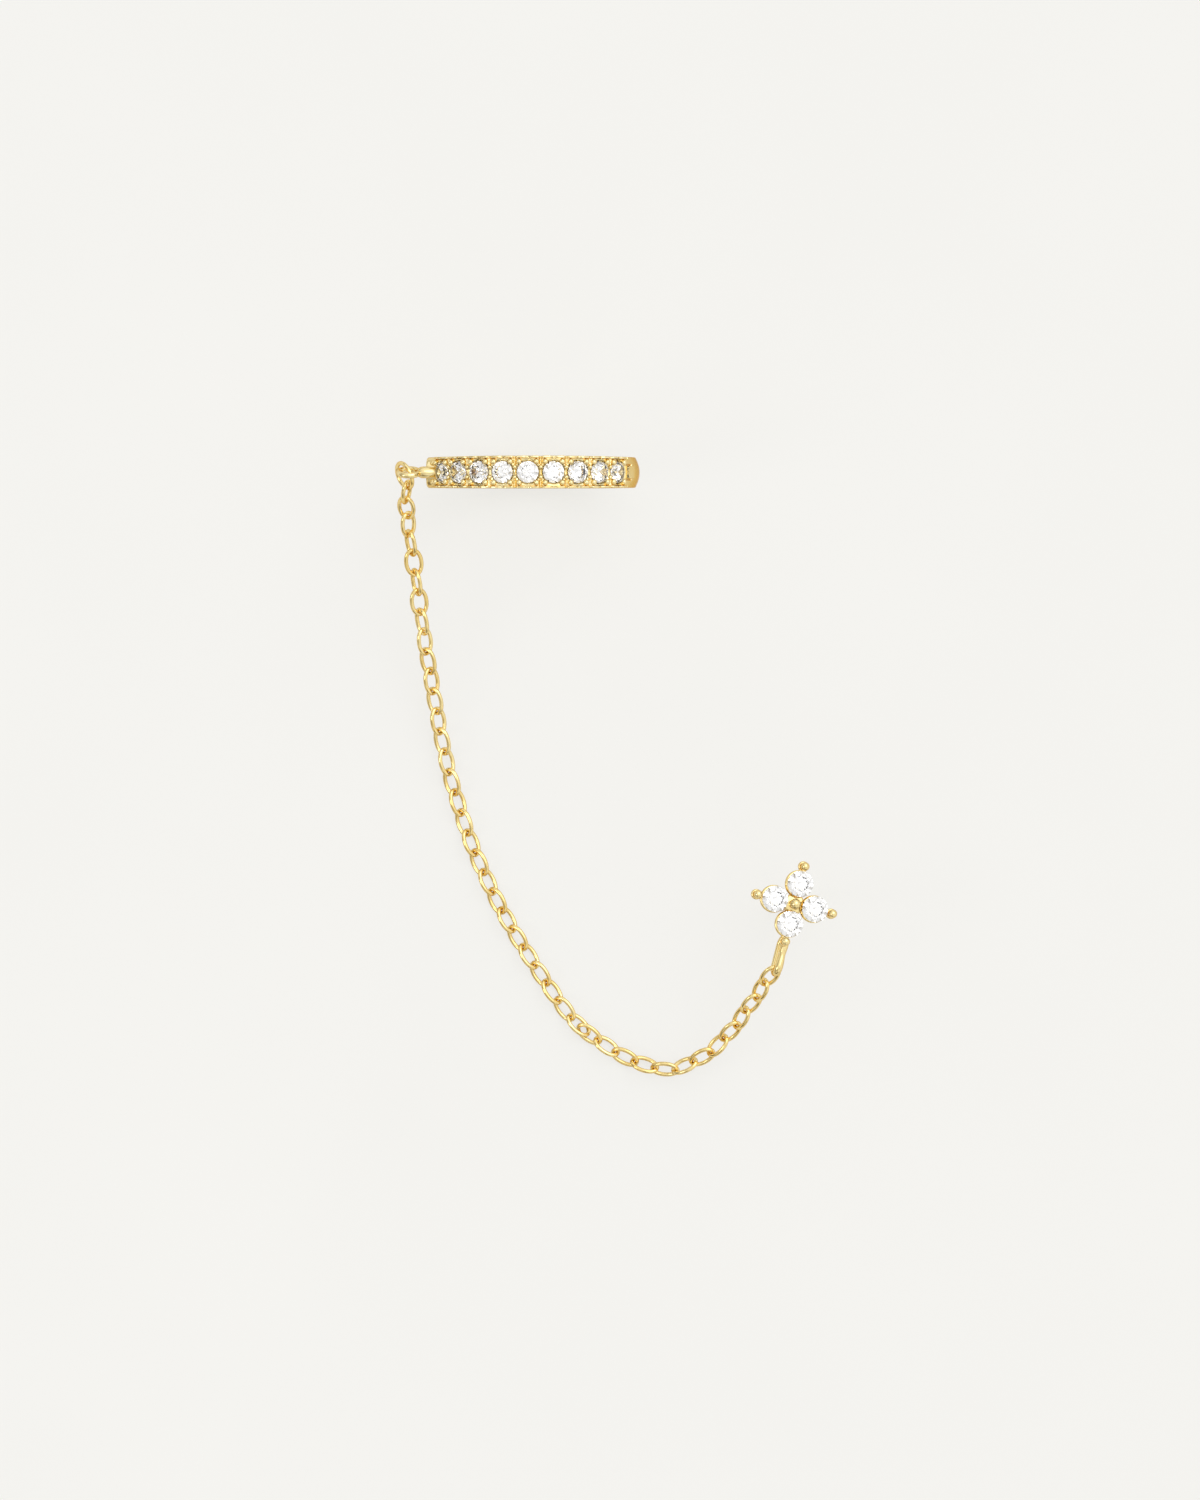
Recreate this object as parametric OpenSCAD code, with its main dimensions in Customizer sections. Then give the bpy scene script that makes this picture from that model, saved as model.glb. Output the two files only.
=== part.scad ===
// Ear chain earring: an open ear cuff with a row of round stones, a fine cable chain and a
// four-petal flower stud. Millimetres. The origin is the middle of the cuff's hole, the cuff's
// axis is Y, +Z is up and the earring lies on the level z = -cuff_od / 2.

/* [Ear cuff] */
// Outer diameter of the plain part of the band
cuff_od = 12.2; // [11.6:0.1:13]
// Thickness of the plain band
cuff_wall = 1.3; // [1.2:0.05:1.5]
// Width of the band along its axis
cuff_width = 1.87; // [1.8:0.01:2.2]
// How much lower the band's edges are than its flat middle
crown_drop = 0.3; // [0.2:0.05:0.4]
// Width of the band's flat middle
crown_flat = 1.3; // [0.9:0.02:1.36]
// Angle at which the band starts, from the top, with the stones' side first
cuff_start = -67.5; // [-75:0.5:-66]
// Angle that the band takes round the ear
cuff_sweep = 334; // [300:1:336]

/* [Stone row] */
// Diameter of each stone in the row
row_stone_d = 1.25; // [1.1:0.05:1.3]
// Gap between two neighbouring stones
row_gap = 0.22; // [0.18:0.01:0.26]
// Height of the stone row's rims over the plain band
rim_rise = 0.15; // [0.1:0.01:0.25]
// Thickness of each rim
rim_wall = 0.1; // [0.08:0.01:0.14]
// Depth of the ledge between the rims, where the beads stand
ledge_depth = 0.14; // [0.1:0.01:0.18]
// Diameter of the beads that hold the stones
bead_d = 0.28; // [0.24:0.01:0.3]
// Diameter of the small beads in the middle of each gap
small_bead_d = 0.2; // [0.16:0.01:0.22]
// Distance of a bead from the gap's middle, round the band
bead_step = 0.28; // [0.26:0.01:0.32]
// Distance of the beads from the band's mid-line
bead_row = 0.58; // [0.55:0.01:0.62]

/* [Cuff loop and jump ring] */
// Diameter of the short stem that carries the loop
stem_d = 0.56; // [0.5:0.02:0.64]
// Free length of the stem
stem_length = 0.54; // [0.4:0.02:0.8]
// Outer diameter of the loop
loop_od = 1.48; // [1.4:0.02:1.7]
// Wire of the loop
loop_wire = 0.34; // [0.3:0.01:0.36]
// Outer diameter of the jump ring
jump_od = 1.76; // [1.7:0.02:1.9]
// Wire of the jump ring
jump_wire = 0.2; // [0.18:0.01:0.22]

/* [Chain] */
// Length of one link over its ends
link_length = 1.74; // [1.69:0.01:1.8]
// Width of one link
link_width = 1.15; // [1.1:0.01:1.24]
// Wire of the links
link_wire = 0.18; // [0.15:0.01:0.19]
// Clear gap between two wires that hook into each other
link_gap = 0.13; // [0.12:0.01:0.15]

/* [Flower stud] */
// Diameter of each petal stone
petal_d = 1.5; // [1.4:0.02:1.56]
// Distance of a petal stone from the flower's middle
petal_reach = 1.18; // [1.14:0.01:1.26]
// Diameter of the ball in the middle
centre_ball_d = 0.62; // [0.54:0.02:0.64]
// Diameter of the ball beyond each petal
tip_ball_d = 0.5; // [0.44:0.02:0.54]
// Thickness of the base under the petals' cups
base_t = 0.25; // [0.2:0.01:0.32]
// Diameter of the ear post
post_d = 0.8; // [0.7:0.05:0.9]
// Free length of the ear post under the base
post_length = 6.5; // [6:0.1:8]
// Wire of the fixed bail
bail_wire = 0.32; // [0.28:0.01:0.34]
// Height of the bail's hole
bail_hole = 0.6; // [0.56:0.02:0.7]
// Reach of the bail from the flower's middle
bail_reach = 4.25; // [4.1:0.05:4.6]

/* [Hidden] */
row_stones = 9;
petals = 4;

gold = "#e2bb55";
stone_white = "#f3f5f8";
exact = 48;
around = 180;        // segments of the large curves
lap = 0.05;          // how far joined metal runs into its neighbour
lap_angle = 1;       // the same round the band
stone_clear = 0.03;  // gap between a stone and its seat

// The cuff's levels, as distances from its axis
outer_r = cuff_od / 2;
inner_r = outer_r - cuff_wall;
rim_r = outer_r + rim_rise;
ledge_r = rim_r - ledge_depth;
girdle_r = ledge_r - 0.09;  // the stones' girdles sit a little under the ledge
bead_r = rim_r - 0.09;      // the beads' middles
crown_depth = (pow(cuff_width, 2) / 4 - pow(crown_flat, 2) / 4 + pow(crown_drop, 2)) / (2 * crown_drop);
crown_r = norm([crown_depth, crown_flat / 2]);

// The stone row starts one end wall after the band's first end and stops one margin after
// its last stone, where a small flat pad is raised on the band
end_wall = 0.3;
row_margin = 0.2;
end_pad = [0.85, 0.76];
row_pitch = 2 * asin((row_stone_d + row_gap) / 2 / girdle_r);
stone_half_angle = asin(row_stone_d / 2 / girdle_r);
row_first = cuff_start + arc_angle(end_wall) + stone_half_angle;
row_last = row_first + (row_stones - 1) * row_pitch;
row_end = row_last + stone_half_angle + arc_angle(row_margin);
small_bead_row = 0.32;
slot = [0.12, 0.36, 0.5];   // the dark slot between two stones
notch_d = 0.16;             // the notch that each gap leaves in the rims
corner_cut = 0.4;           // square prism that bevels the first end's corners

// A round cut as shares of its diameter
table_share = 0.57;
crown_share = 0.16;
girdle_share = 0.03;
pavilion_share = 0.43;
table_sides = 8;
table_step = 360 / table_sides;
girdle_step = table_step / 2;

// The loop stands beyond the band's first end, the jump ring hangs in it
loop_lean = 19;
loop_r = (loop_od - loop_wire) / 2;
loop_centre = [rim_r * sin(cuff_start) - stem_length - loop_od / 2, 0, rim_r * cos(cuff_start) - stem_d / 2];
jump_r = (jump_od - jump_wire) / 2;
jump_roll = 60;
jump_dip = 24;
jump_yaw = 8;
jump_centre = loop_centre + [-0.24, -0.18, -0.62];
jump_across = [-cos(jump_roll), 0, -sin(jump_roll)];
jump_along = unit([sin(jump_yaw), -cos(jump_dip), -sin(jump_dip)]);
jump_normal = unit(cross(jump_across, jump_along));
jump_down = cross(jump_normal, jump_across);

// The flower stands on its post, which leans a little with it
floor_z = -outer_r;
flower_turn = -14.6;
flower_tilt = 6;
cup_top = -0.15;
cup_floor = -0.85;
arm_w = 0.42;
ball_z = [0.14, 0.1];   // height of the ball in the middle, and of those beyond the petals
base_z = cup_floor - base_t + lap;
post_tip = base_z - post_length;
flower_centre = [14.97, -24.6, floor_z + post_d / 2 - (post_tip + post_d / 2) * cos(flower_tilt)];
tip_reach = petal_reach + petal_d / 2 + tip_ball_d / 2 + stone_clear;
bail_lean = 20;
bail_r = (bail_hole + bail_wire) / 2;
bail_far = bail_reach - bail_wire / 2 - bail_r;
bail_near = tip_reach + 0.25;
bail_z = base_z - 0.1 - bail_r * cos(bail_lean);

// The chain's route, from its first hook to its last: x, y and height over the surface
chain_route = [
    [-7.2, -2.0, 6.15], [-7.08, -3.05, 5.35], [-6.93, -4.2, 4.75], [-6.75, -5.35, 4.3],
    [-6.45, -7.6, 3.45], [-6.1, -10, 2.55], [-5.7, -12.35, 1.75], [-5.3, -14.7, 1.05],
    [-4.8, -17, 0.6], [-4.1, -19.4, 0.41], [-3.25, -21.8, 0.4], [-1.7, -25.1, 0.4],
    [0.2, -28.25, 0.4], [2.25, -31.15, 0.4], [3.95, -32.55, 0.4], [5.6, -33.5, 0.45],
    [7.8, -34.05, 0.85], [9.9, -33.2, 1.75], [11.6, -31.5, 3.0],
];
// Roll of the links that hang from the cuff, of those that lie, and of the last ones
hanging_roll = [64, 24, 40, 62, 6, 64, 16, 54];
lying_roll = 38;
rising_roll = [46, 44, 38, 38, 38, 38, 38, 38, 34];
ring_slack = 0.07;
// One pair of links is pushed together a little, as it lies
bunched_link = 29;
bunched_by = 0.4;
hook_inset = (jump_wire + link_wire) / 2 + link_gap + ring_slack;
bail_inset = (bail_wire + link_wire) / 2 + link_gap;
link_sides = 6;
link_steps = 14;
route_steps = 8;

first_hook = jump_centre + (jump_r - hook_inset) * jump_down;
last_hook = flower_centre + flower_turned([0, -(bail_reach - bail_wire / 2 - bail_inset), bail_z]);
route = concat([first_hook], [for (p = chain_route) p + [0, 0, floor_z]], [last_hook]);
path = concat(
    [for (i = [0:len(route) - 2], j = [0:route_steps - 1]) spline_point(i, j / route_steps)],
    [route[len(route) - 1]]);
run = [for (i = 0, s = 0; i < len(path); s = s + span_after(i), i = i + 1) s];
run_x = [for (i = [0:len(path) - 1]) [run[i], path[i].x]];
run_y = [for (i = [0:len(path) - 1]) [run[i], path[i].y]];
run_z = [for (i = [0:len(path) - 1]) [run[i], path[i].z]];
link_half = (link_length - link_wire) / 2;
link_side = (link_width - link_wire) / 2;
link_pitch = link_length - 2 * link_wire - link_gap;
chain_span = run[len(run) - 1] - 2 * link_half + bunched_by;
chain_steps = 2 * ceil((chain_span / link_pitch - 1) / 2) + 1;
chain_pitch = chain_span / chain_steps;

function unit(v) = v / norm(v);
function arc_angle(length) = length / girdle_r * 180 / PI;
function gap_angle(i) = row_first + (i - 0.5) * row_pitch;
function turn_z(v, a) = [v.x * cos(a) - v.y * sin(a), v.x * sin(a) + v.y * cos(a), v.z];
function turn_y(v, a) = [v.x * cos(a) + v.z * sin(a), v.y, v.z * cos(a) - v.x * sin(a)];
function flower_turned(v) = turn_y(turn_z(v, flower_turn), flower_tilt);

// A point on the smooth curve through the route, t of the way from point i to the next
function route_at(i) = route[max(0, min(len(route) - 1, i))];
function spline_point(i, t) =
    let (a = route_at(i - 1), b = route_at(i), c = route_at(i + 1), d = route_at(i + 2))
    0.5 * (2 * b + (c - a) * t + (2 * a - 5 * b + 4 * c - d) * t * t + (3 * b - a - 3 * c + d) * t * t * t);
function span_after(i) = i < len(path) - 1 ? norm(path[i + 1] - path[i]) : 0;
function place(s) = [lookup(s, run_x), lookup(s, run_y), lookup(s, run_z)];

// Where link i has its middle along the route, and how far it is rolled
function link_run(i) = link_half + i * chain_pitch - (i >= bunched_link ? bunched_by : 0);
function link_roll(i) = (i % 2 == 0 ? -1 : 1) * (
    i < len(hanging_roll) ? hanging_roll[i]
    : i > chain_steps - len(rising_roll) ? rising_roll[i - chain_steps + len(rising_roll) - 1]
    : lying_roll);

// A plain band about the cuff's axis between two angles from the top
module band_arc(from, to, profile_r) {
    rotate([0, -90, -90]) rotate([0, 0, from]) rotate_extrude(angle = to - from, $fn = around)
        intersection() {
            translate([inner_r, -cuff_width / 2]) square([profile_r - inner_r, cuff_width]);
            translate([profile_r - crown_depth, 0]) circle(r = crown_r, $fn = around);
        }
}

// The stone row's body: two thin rims with a ledge between them
module row_block(from, to) {
    half = cuff_width / 2;
    inside = half - rim_wall;
    rotate([0, -90, -90]) rotate([0, 0, from]) rotate_extrude(angle = to - from, $fn = around)
        polygon([
            [inner_r, -half], [rim_r, -half], [rim_r, -inside], [ledge_r, -inside],
            [ledge_r, inside], [rim_r, inside], [rim_r, half], [inner_r, half]]);
}

module on_band(angle, radius) {
    rotate([0, angle, 0]) translate([0, 0, radius]) children();
}

// What is cut away so that the band's plain end is round, seen from outside
module round_tip() {
    half_tip = cuff_width / 2 / outer_r * 180 / PI;
    on_band(cuff_start + cuff_sweep - half_tip, inner_r - 1) difference() {
        translate([0, -cuff_width, 0]) cube([cuff_width, 2 * cuff_width, cuff_wall + 2]);
        translate([0, 0, -1]) cylinder(d = cuff_width, h = cuff_wall + 4, $fn = exact);
    }
}

// The hollow that a stone of diameter d drops into, with its girdle at z = 0
module stone_seat(d) {
    seat_r = d / 2 + stone_clear;
    drop = 2 * stone_clear;
    translate([0, 0, -drop]) cylinder(r = seat_r, h = 1, $fn = exact);
    translate([0, 0, -drop - pavilion_share * d])
        cylinder(r1 = stone_clear / 2, r2 = seat_r, h = pavilion_share * d, $fn = exact);
}

module cuff_band() {
    row_angles = [for (i = [0:row_stones - 1]) row_first + i * row_pitch];
    color(gold) {
        difference() {
            union() {
                row_block(cuff_start, row_end);
                band_arc(row_end - lap_angle, cuff_start + cuff_sweep, outer_r);
                on_band(row_end + arc_angle(end_pad.x / 2), outer_r)
                    cube([end_pad.x, end_pad.y, 2 * rim_rise - lap], center = true);
            }
            for (a = row_angles) on_band(a, girdle_r) stone_seat(row_stone_d);
            for (i = [1:row_stones - 1]) on_band(gap_angle(i), ledge_r) cube(slot, center = true);
            for (i = [0:row_stones]) on_band(gap_angle(i), rim_r)
                rotate([90, 0, 0]) cylinder(d = notch_d, h = 2 * cuff_width, center = true, $fn = exact);
            for (side = [-1, 1]) on_band(cuff_start, inner_r)
                translate([0, side * cuff_width / 2, 0]) rotate([0, 0, 45])
                cube([corner_cut, corner_cut, 4 * cuff_wall], center = true);
            round_tip();
        }
        for (i = [1:row_stones - 1], side = [-1, 1]) {
            for (step = [-bead_step, bead_step]) on_band(gap_angle(i) + arc_angle(step), bead_r)
                translate([0, side * bead_row, 0]) bead(bead_d);
            on_band(gap_angle(i), ledge_r)
                translate([0, side * small_bead_row, 0]) bead(small_bead_d);
        }
        for (side = [-1, 1]) {
            on_band(gap_angle(0) + arc_angle(bead_step / 2), bead_r)
                translate([0, side * bead_row, 0]) bead(bead_d);
            on_band(gap_angle(row_stones) - arc_angle(bead_step), bead_r)
                translate([0, side * bead_row, 0]) bead(bead_d);
        }
        translate([loop_centre.x + loop_r, 0, loop_centre.z]) rotate([0, 90, 0])
            cylinder(d = stem_d, h = stem_length + cuff_wall, $fn = exact);
        translate(loop_centre) rotate([90 + loop_lean, 0, 0]) wire_ring(loop_r, loop_wire);
    }
}

module bead(d) {
    sphere(d = d, $fn = 24);
}

module wire_ring(radius, wire) {
    rotate_extrude($fn = exact) translate([radius, 0]) circle(d = wire, $fn = 24);
}

// A round brilliant with a flat table, 24 crown facets and 16 pavilion facets, girdle at z = 0
module brilliant(d) {
    table_z = (crown_share + girdle_share / 2) * d;
    girdle_z = girdle_share / 2 * d;
    table_r = table_share * d / 2 / cos(girdle_step);
    table = [for (k = [0:table_sides - 1]) ring_point(table_r, (k + 0.5) * table_step, table_z)];
    upper = [for (k = [0:2 * table_sides - 1]) ring_point(d / 2, k * girdle_step, girdle_z)];
    lower = [for (k = [0:2 * table_sides - 1]) ring_point(d / 2, k * girdle_step, -girdle_z)];
    culet = [[0, 0, -pavilion_share * d]];
    faces = concat(
        [[for (k = [7:-1:0]) k]],
        [for (k = [0:7]) [k, 8 + (2 * k + 2) % 16, 8 + (2 * k + 1) % 16]],
        [for (k = [0:7]) [k, (k + 1) % 8, 8 + (2 * k + 2) % 16]],
        [for (k = [0:7]) [(k + 1) % 8, 8 + (2 * k + 3) % 16, 8 + (2 * k + 2) % 16]],
        [for (k = [0:15]) [8 + k, 8 + (k + 1) % 16, 24 + (k + 1) % 16, 24 + k]],
        [for (k = [0:15]) [24 + k, 24 + (k + 1) % 16, 40]]);
    color(stone_white) polyhedron(concat(table, upper, lower, culet), faces);
}

function ring_point(r, a, z) = [r * cos(a), r * sin(a), z];

module cuff_stone(i) {
    on_band(row_first + (i - 1) * row_pitch, girdle_r) brilliant(row_stone_d);
}

module jump_ring() {
    color(gold) translate(jump_centre) multmatrix([
        [jump_down.x, jump_across.x, jump_normal.x, 0],
        [jump_down.y, jump_across.y, jump_normal.y, 0],
        [jump_down.z, jump_across.z, jump_normal.z, 0],
        [0, 0, 0, 1]]) wire_ring(jump_r, jump_wire);
}

// One oval link: a round wire swept round an ellipse in the plane of along and across
module link(centre, along, across) {
    normal = cross(along, across);
    points = [for (i = [0:link_steps - 1], j = [0:link_sides - 1])
        let (
            a = 360 * i / link_steps,
            b = 360 * j / link_sides,
            middle = link_half * cos(a) * along + link_side * sin(a) * across,
            out = unit(link_side * cos(a) * along + link_half * sin(a) * across))
        centre + middle + link_wire / 2 * (cos(b) * out + sin(b) * normal)];
    faces = [for (i = [0:link_steps - 1], j = [0:link_sides - 1], half = [0, 1])
        let (
            i2 = (i + 1) % link_steps,
            j2 = (j + 1) % link_sides,
            p = i * link_sides + j,
            q = i2 * link_sides + j,
            r = i2 * link_sides + j2,
            s = i * link_sides + j2)
        half == 0 ? [p, q, r] : [p, r, s]];
    polyhedron(points, faces);
}

module chain() {
    color(gold) for (i = [0:chain_steps]) {
        s = link_run(i);
        along = unit(place(s + link_half / 2) - place(s - link_half / 2));
        level = unit(cross([0, 0, 1], along));
        raised = cross(along, level);
        link(place(s), along, cos(link_roll(i)) * level + sin(link_roll(i)) * raised);
    }
}

module flower_frame() {
    translate(flower_centre) rotate([0, flower_tilt, 0]) rotate([0, 0, flower_turn]) children();
}

// The fixed bail: a long ring whose hole lies along the petal's arm
module bail() {
    translate([0, 0, bail_z]) rotate([0, bail_lean, 0]) {
        for (side = [-1, 1]) translate([0, -bail_near, side * bail_r]) rotate([90, 0, 0])
            cylinder(d = bail_wire, h = bail_far - bail_near, $fn = 24);
        translate([0, -bail_near, 0]) half_ring(90);
        translate([0, -bail_far, 0]) half_ring(-90);
    }
}

module half_ring(facing) {
    rotate([0, 90, 0]) rotate([0, 0, facing - 90]) rotate_extrude(angle = 180, $fn = exact)
        translate([bail_r, 0]) circle(d = bail_wire, $fn = 24);
}

module flower_setting() {
    cup_top_r = petal_d / 2 - 0.03;
    cup_floor_r = petal_d / 2 - 0.1;
    base_r = petal_d / 2 + 0.01;
    prong_d = tip_ball_d - 0.14;
    plate_r = petal_reach - petal_d / 2 + 0.17;
    plate_top = -0.58;
    color(gold) flower_frame() {
        for (k = [0:petals - 1]) rotate([0, 0, 360 / petals * k]) {
            difference() {
                translate([0, petal_reach, cup_floor])
                    cylinder(r1 = cup_floor_r, r2 = cup_top_r, h = cup_top - cup_floor, $fn = exact);
                translate([0, petal_reach, 0]) stone_seat(petal_d);
            }
            translate([0, petal_reach, base_z]) cylinder(r = base_r, h = base_t, $fn = exact);
            translate([-arm_w / 2, 0, base_z]) cube([arm_w, tip_reach, base_t]);
            translate([0, tip_reach, base_z]) cylinder(d = arm_w, h = base_t, $fn = exact);
            translate([0, tip_reach, base_z]) cylinder(d = prong_d, h = ball_z[1] - base_z, $fn = exact);
            translate([0, tip_reach, ball_z[1]]) sphere(d = tip_ball_d, $fn = exact);
        }
        translate([0, 0, base_z]) cylinder(r = plate_r, h = plate_top - base_z, $fn = exact);
        translate([0, 0, base_z]) cylinder(d = centre_ball_d - 0.14, h = ball_z[0] - base_z, $fn = exact);
        translate([0, 0, ball_z[0]]) sphere(d = centre_ball_d, $fn = exact);
        translate([0, 0, post_tip + post_d / 2])
            cylinder(d = post_d, h = post_length - post_d / 2 + lap, $fn = exact);
        translate([0, 0, post_tip + post_d / 2]) sphere(d = post_d, $fn = exact);
        bail();
    }
}

module flower_stone(k) {
    flower_frame() rotate([0, 0, 360 / petals * (k - 1)]) translate([0, petal_reach, 0]) brilliant(petal_d);
}

cuff_band();
for (i = [1:row_stones]) cuff_stone(i);
jump_ring();
chain();
flower_setting();
for (k = [1:petals]) flower_stone(k);
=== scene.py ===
# %% [markdown]
# # An ear chain earring
# An open ear cuff with nine small stones sits on the rim of the ear, a flower of four stones sits in
# the lobe, and a fine cable chain joins them. This lesson dresses the exact model of it: every
# visible metal piece is worked out again with rounded edges, notched rims and raised beads, and
# every stone gets the full set of facets. The exact model gives all the places and sizes.

import bpy
import numpy as np
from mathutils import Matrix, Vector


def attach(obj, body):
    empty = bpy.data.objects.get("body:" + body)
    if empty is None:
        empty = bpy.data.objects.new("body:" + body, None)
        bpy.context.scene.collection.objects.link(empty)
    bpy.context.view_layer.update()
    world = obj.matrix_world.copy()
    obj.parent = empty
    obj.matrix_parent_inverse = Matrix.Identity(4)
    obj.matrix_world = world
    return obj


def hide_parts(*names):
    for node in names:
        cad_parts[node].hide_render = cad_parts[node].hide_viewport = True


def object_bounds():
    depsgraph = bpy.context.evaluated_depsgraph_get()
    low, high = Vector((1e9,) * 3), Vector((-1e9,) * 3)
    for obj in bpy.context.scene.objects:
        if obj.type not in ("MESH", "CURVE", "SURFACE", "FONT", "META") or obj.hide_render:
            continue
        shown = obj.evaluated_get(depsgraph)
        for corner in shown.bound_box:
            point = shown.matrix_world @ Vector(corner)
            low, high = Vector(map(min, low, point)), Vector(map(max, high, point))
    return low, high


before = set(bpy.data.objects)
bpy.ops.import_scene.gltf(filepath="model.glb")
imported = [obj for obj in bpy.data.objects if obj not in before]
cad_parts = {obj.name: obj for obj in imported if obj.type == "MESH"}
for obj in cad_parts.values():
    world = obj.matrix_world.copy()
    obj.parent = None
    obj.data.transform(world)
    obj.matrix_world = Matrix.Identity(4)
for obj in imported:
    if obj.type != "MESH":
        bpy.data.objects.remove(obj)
cad_low, cad_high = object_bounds()
MM = 0.001
scene = bpy.context.scene
print("CAD box, mm:", [round((b - a) / MM, 2) for a, b in zip(cad_low, cad_high)])

# %% [markdown]
# ## The camera
# The photo looks straight down, and the cuff's lower half hides exactly behind its stone row. Only
# a camera that is far away sees it so, hence a very long lens, high over the middle of the picture.
# The view transform is the plain one, so that a white surface comes out white.

# %% A long lens straight above
CAMERA_PLACE = (3.84, -15.82, 2732.4)
lens = bpy.data.cameras.new("long_lens")
lens.lens = 1150.0
lens.sensor_width = 36.0
lens.clip_start = 0.01
camera = bpy.data.objects.new("camera_above", lens)
camera.location = [v * MM for v in CAMERA_PLACE]
scene.collection.objects.link(camera)
scene.camera = camera
scene.view_settings.view_transform = "Standard"
print("camera over", CAMERA_PLACE)

# %% [markdown]
# ## Light
# Polished gold shows nothing but what stands round it. A light tent does it well: a bright lamp
# behind the cloth to the upper right puts one clear spot on every ball and wire, and the brighter
# and darker cloths towards the horizon give streaks and deep edges. The dome is two colour ramps
# on how near a direction is to the lamp's, and a cloudy noise picks between the two cloths. The
# camera itself sees an even pale colour where it looks past the floor. Two softboxes, small and far
# off to the right and the left, add one more sharp spot each.


# %% A dome of two cloths
def cloth_colour(value):
    """A grey v whose shaded values are warmer: (v, v ** 1.12, v ** 1.35) below 1."""
    shade = min(value, 1.0)
    return value, value * shade ** 0.12, value * shade ** 0.35, 1.0


def studio_dome(lamp_way, stops, cloths_across, pale):
    """The world: for each stop (cosine of the angle from the lamp, dark cloth's radiance, bright
    cloth's radiance), and a noise that picks between the cloths; pale for the camera."""
    world = bpy.data.worlds.new("light_tent")
    world.use_nodes = True
    tree = world.node_tree
    tree.nodes.clear()
    place = tree.nodes.new("ShaderNodeTexCoord")
    nearness = tree.nodes.new("ShaderNodeVectorMath")
    nearness.operation = "DOT_PRODUCT"
    nearness.inputs[1].default_value = lamp_way
    tree.links.new(place.outputs["Generated"], nearness.inputs[0])
    cloth = tree.nodes.new("ShaderNodeTexNoise")
    cloth.inputs["Scale"].default_value = cloths_across
    cloth.inputs["Detail"].default_value = 0.0
    tree.links.new(place.outputs["Generated"], cloth.inputs["Vector"])
    choice = tree.nodes.new("ShaderNodeMapRange")
    choice.inputs["From Min"].default_value = 0.42
    choice.inputs["From Max"].default_value = 0.58
    tree.links.new(cloth.outputs["Fac"], choice.inputs["Value"])
    tent = tree.nodes.new("ShaderNodeMix")
    tent.data_type = "RGBA"
    tree.links.new(choice.outputs["Result"], tent.inputs["Factor"])
    for column, socket in ((1, "A"), (2, "B")):
        ramp = tree.nodes.new("ShaderNodeValToRGB")
        while len(ramp.color_ramp.elements) < len(stops):
            ramp.color_ramp.elements.new(1.0)
        for element, stop in zip(ramp.color_ramp.elements, stops):
            element.position = stop[0]
            element.color = cloth_colour(stop[column])
        tree.links.new(nearness.outputs["Value"], ramp.inputs["Fac"])
        tree.links.new(ramp.outputs["Color"], tent.inputs[socket])
    seen = tree.nodes.new("ShaderNodeLightPath")
    mixed = tree.nodes.new("ShaderNodeMix")
    mixed.data_type = "RGBA"
    mixed.inputs["B"].default_value = (*pale, 1.0)
    tree.links.new(seen.outputs["Is Camera Ray"], mixed.inputs["Factor"])
    tree.links.new(tent.outputs["Result"], mixed.inputs["A"])
    glow = tree.nodes.new("ShaderNodeBackground")
    out = tree.nodes.new("ShaderNodeOutputWorld")
    tree.links.new(mixed.outputs["Result"], glow.inputs["Color"])
    tree.links.new(glow.outputs["Background"], out.inputs["Surface"])
    return world


# Cosine of the angle from the lamp, the dark cloth's radiance, the bright cloth's radiance
TENT = [(0.00, 0.24, 0.84),
        (0.45, 0.58, 1.02),
        (0.80, 1.00, 1.12),
        (0.90, 1.04, 1.18),
        (0.92, 2.00, 2.00)]
LAMP_WAY = (0.34, 0.38, 0.86)
CLOTHS_ACROSS = 1.7
PALE = (0.913, 0.905, 0.871)
scene.world = studio_dome(LAMP_WAY, TENT, CLOTHS_ACROSS, PALE)
print("dome with", len(TENT), "stops in each cloth")


# %% Softboxes
def softbox(name, place, size, radiance):
    """A square lamp that faces the model: its power is radiance times area times pi."""
    lamp = bpy.data.lights.new(name, "AREA")
    lamp.shape = "SQUARE"
    lamp.size = size * MM
    lamp.energy = radiance * np.pi * lamp.size ** 2
    holder = bpy.data.objects.new(name, lamp)
    holder.location = [v * MM for v in place]
    aim = -holder.location
    holder.rotation_euler = aim.to_track_quat("-Z", "Y").to_euler()
    scene.collection.objects.link(holder)
    print(name, "gives", round(lamp.energy, 4), "W")


softbox("key_softbox", place=(160, 200, 260), size=60, radiance=4.0)
softbox("side_softbox", place=(-230, -60, 200), size=90, radiance=3.0)

# %% [markdown]
# ## The surface that it lies on
# A sheet of smooth pale card. It is no part of the earring. A faint cloudiness in its colour keeps it
# from looking like empty space. Like a card that is lit from below, it glows for the camera, which
# keeps the shadows as faint as in the photo. The gold sees the plain pale card with its real shadows,
# and so a wire gets a deep edge where it lies on it.


# %% The pale card
def new_material(name):
    """An empty material with a Principled shader; returns the material, its tree and the shader."""
    material = bpy.data.materials.new(name)
    material.use_nodes = True
    tree = material.node_tree
    return material, tree, tree.nodes["Principled BSDF"]


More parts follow.
